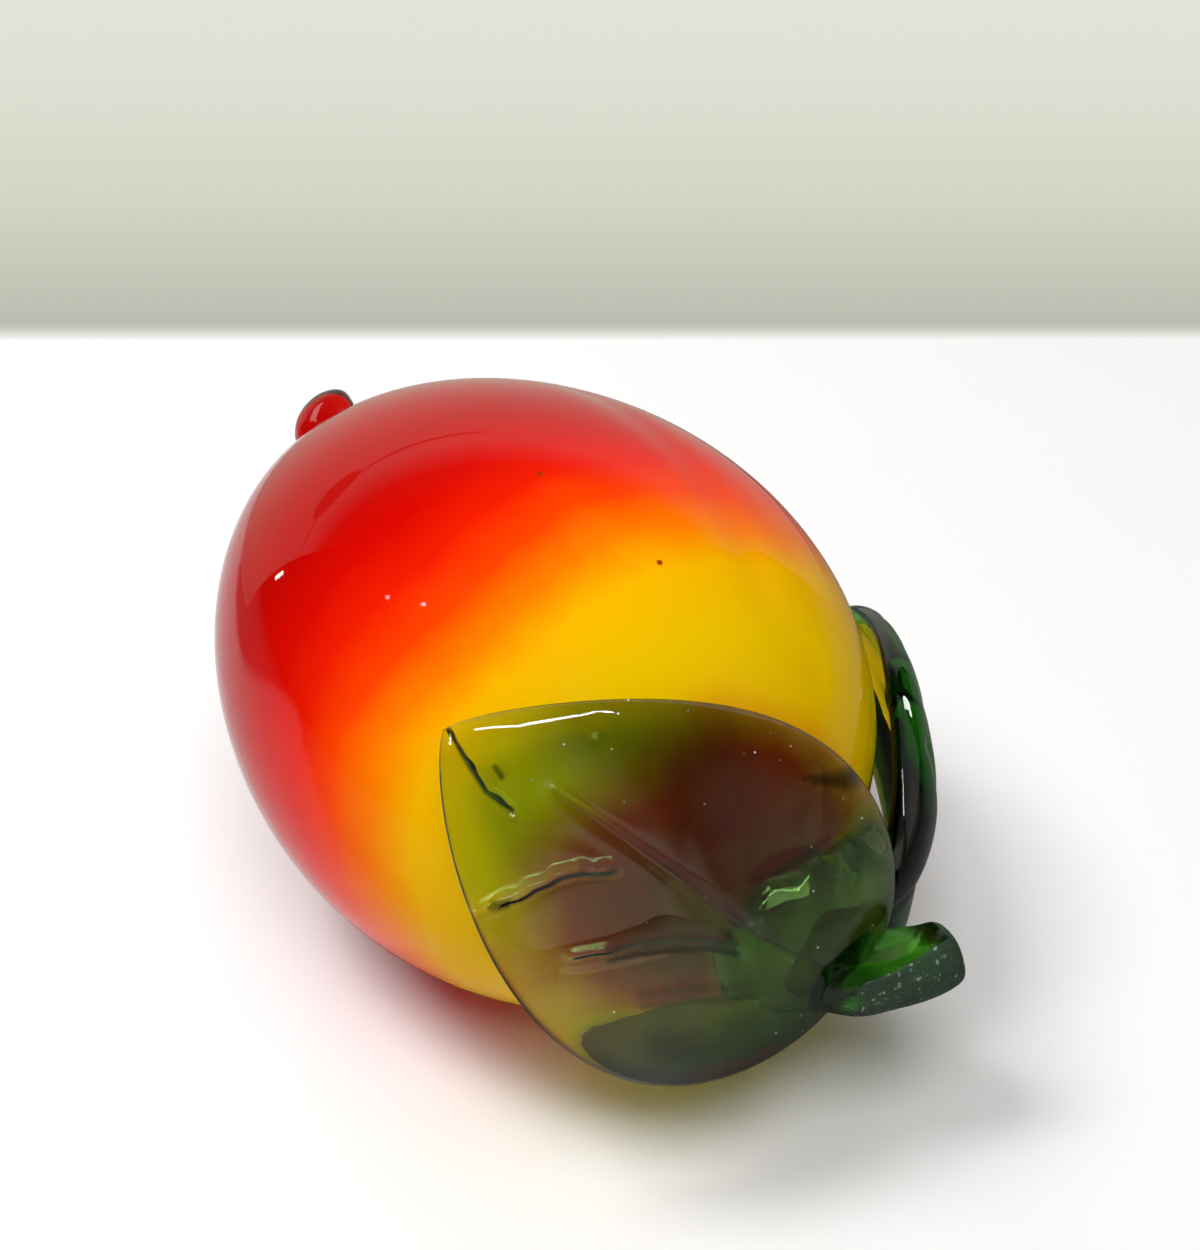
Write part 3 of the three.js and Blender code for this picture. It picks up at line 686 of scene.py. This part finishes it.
ROOM_LIGHT, FRONT_LIGHT, FRONT_MIRRORED, SIDE_MIRRORED = 0.03, 0.16, 0.71, 0.3
world = bpy.data.worlds.new("room")
bpy.context.scene.world = world
world.use_nodes = True
world.node_tree.nodes.clear()
flow = Flow(world.node_tree)
toward = flow.node("ShaderNodeTexCoord", out="Generated")
front = sector(toward, FRONT_SIDES, 0.25) * (1 - 0.75 * toward.dot(up).rise(0.36, 0.5))
side = sector(toward, SIDE_SIDES, 0.45) * (1 - toward.dot(up).rise(0.45, 0.85))
mirrored = mirror_rays(flow)
seen = flow.node("ShaderNodeLightPath", out="Is Camera Ray")
warm = mirrored.blend((0.95, 1.0, 1.0, 1), (1.0, 0.9, 0.74, 1))
strength = (ROOM_LIGHT + front * (FRONT_LIGHT + FRONT_MIRRORED * mirrored)
            + SIDE_MIRRORED * (side * mirrored))
dim = flow.node("ShaderNodeBackground", {}, {"Color": warm, "Strength": strength})
pale = flow.node("ShaderNodeBackground", {}, {"Color": (1, 1, 1, 1), "Strength": 1.0})
room = flow.node("ShaderNodeMixShader", {}, {0: seen, 1: dim, 2: pale})
flow.node("ShaderNodeOutputWorld", {}, {"Surface": room})


LAMP_AIM = 0.04


def lamp(name, turn, height, away, size, radiance, mirrored, along=None, only=()):
    """An area lamp, by its bearing from the line of sight, elevation, distance and radiance."""
    turn, height = math.radians(turn), math.radians(height)
    way = math.cos(height) * (math.cos(turn) * ahead + math.sin(turn) * right) + math.sin(height) * up
    light = bpy.data.lights.new(name, "AREA")
    light.shape = "RECTANGLE"
    light.size, light.size_y = size
    light.energy = math.pi * radiance * size[0] * size[1]
    made = bpy.data.objects.new(name, light)
    bpy.context.scene.collection.objects.link(made)
    across = (along or way.cross(up)).cross(way).normalized()
    made.matrix_world = Matrix((across.cross(way), across, way)).transposed().to_4x4()
    made.location = ground + LAMP_AIM * up + away * way
    made.visible_glossy = mirrored
    if only:
        group = bpy.data.collections.new(name)
        for piece in only:
            group.objects.link(piece)
        made.light_linking.receiver_collection = group


lamp("soft_key_lamp", -86, 62, 1.0, (0.22, 0.42), 18.4, False)
lamp("soft_front_lamp", 175, 70, 1.2, (0.6, 0.6), 5.5, False)
lamp("soft_overhead_lamp", 60, 85, 1.3, (1.4, 1.4), 0.72, False)
lamp("soft_back_lamp", -28, 45, 1.0, (0.25, 0.25), 4.4, False)
lamp("soft_low_lamp", -135, 18, 1.0, (0.6, 0.4), 1.6, False, None, [casing])
lamp("soft_right_lamp", 95, 40, 1.0, (0.5, 0.5), 1.6, False, None, [casing])
lamp("small_left_lamp", -84, 46, 0.8, (0.014, 0.014), 30.0, True)
lamp("small_high_lamp", -91, 56, 0.8, (0.014, 0.014), 30.0, True)
lamp("small_low_lamp", -64, 8, 0.8, (0.012, 0.05), 30.0, True)
lamp("leaf_tip_lamp", -138, 64, 1.1, (0.42, 0.05), 25.0, True,
     0.34 * ahead + 0.94 * right, [front_leaf])
lamp("leaf_edge_lamp", 128, 85, 1.0, (0.63, 0.05), 25.0, True,
     0.745 * ahead + 0.667 * right, [front_leaf])
lamp("rear_rim_lamp", 64, 21, 0.6, (0.06, 0.20), 14.0, True, None, [rear_leaf])
lamp("rear_low_lamp", 152, 50, 0.6, (0.05, 0.30), 14.0, True, None, [rear_leaf])
lamp("rear_soft_lamp", 105, 42, 0.6, (0.8, 0.8), 0.35, True, None, [rear_leaf])
lamp("tip_lamp", -60, 56, 0.6, (0.24, 0.24), 2.5, True, None, [tip])
lamp("stem_lamp", 130, 41, 0.6, (0.10, 0.02), 20.0, True, None, [stem])

bpy.context.scene.view_settings.view_transform = "Standard"
